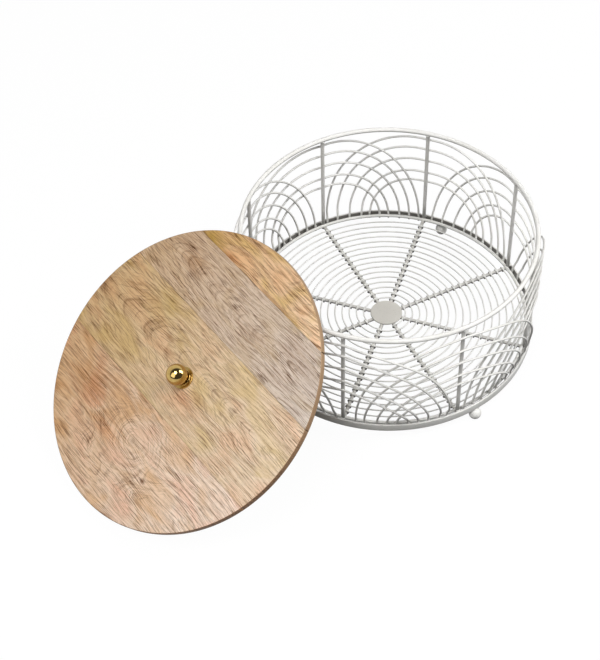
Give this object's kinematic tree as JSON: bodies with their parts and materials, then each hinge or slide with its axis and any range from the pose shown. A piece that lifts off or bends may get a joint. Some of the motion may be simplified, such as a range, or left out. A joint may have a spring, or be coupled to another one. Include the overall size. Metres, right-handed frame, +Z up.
{
  "type": "wire fruit basket with lid",
  "caption": "Round painted wire basket with scalloped arch walls, wound wire base and ball feet, its planked wooden lid with brass knob taken off and leaning on the rim",
  "frame": {"origin": "on the ground, in the middle of the joint footprint of the basket and its leaning lid", "axes": "+Z up along the basket's axis; +X to the right as seen from the front, away from the side that the lid leans on; +Y to the back"},
  "size_m": [0.505, 0.4504, 0.1787],
  "materials": {
    "painted_wire": "satin off-white paint",
    "painted_disc": "satin off-white paint",
    "wood_orange": "oiled, open grain",
    "wood_grey": "oiled, open grain",
    "wood_yellow": "oiled, open grain",
    "wood_pink": "oiled, open grain",
    "knob_brass": "polished",
    "plated_steel": "zinc plated"
  },
  "bodies": {
    "basket": {"top_rim": "painted_wire", "base_band": "painted_wire", "base_ring": "painted_wire", "wall_fan_1": "painted_wire", "wall_fan_2": "painted_wire", "wall_fan_3": "painted_wire", "wall_fan_4": "painted_wire", "wall_fan_5": "painted_wire", "wall_fan_6": "painted_wire", "wall_fan_7": "painted_wire", "wall_fan_8": "painted_wire", "base_spoke_1": "painted_wire", "base_spoke_2": "painted_wire", "base_spoke_3": "painted_wire", "base_spoke_4": "painted_wire", "base_spoke_5": "painted_wire", "base_spoke_6": "painted_wire", "base_spoke_7": "painted_wire", "base_spoke_8": "painted_wire", "base_spiral": "painted_wire", "base_disc": "painted_disc", "foot_1": "painted_wire", "foot_2": "painted_wire", "foot_3": "painted_wire"},
    "lid": {"lid_plank_1": "wood_orange", "lid_plank_2": "wood_grey", "lid_plank_3": "wood_yellow", "lid_plank_4": "wood_pink", "knob_ball": "knob_brass", "knob_collar": "knob_brass", "knob_washer": "plated_steel", "knob_screw": "plated_steel"}
  },
  "joints": [
    {"name": "lid_lift", "type": "slide", "parent": "basket", "child": "lid", "axis": [-0.4633, -0.3208, 0.8261], "range_m": [0, 0.1]}
  ]
}
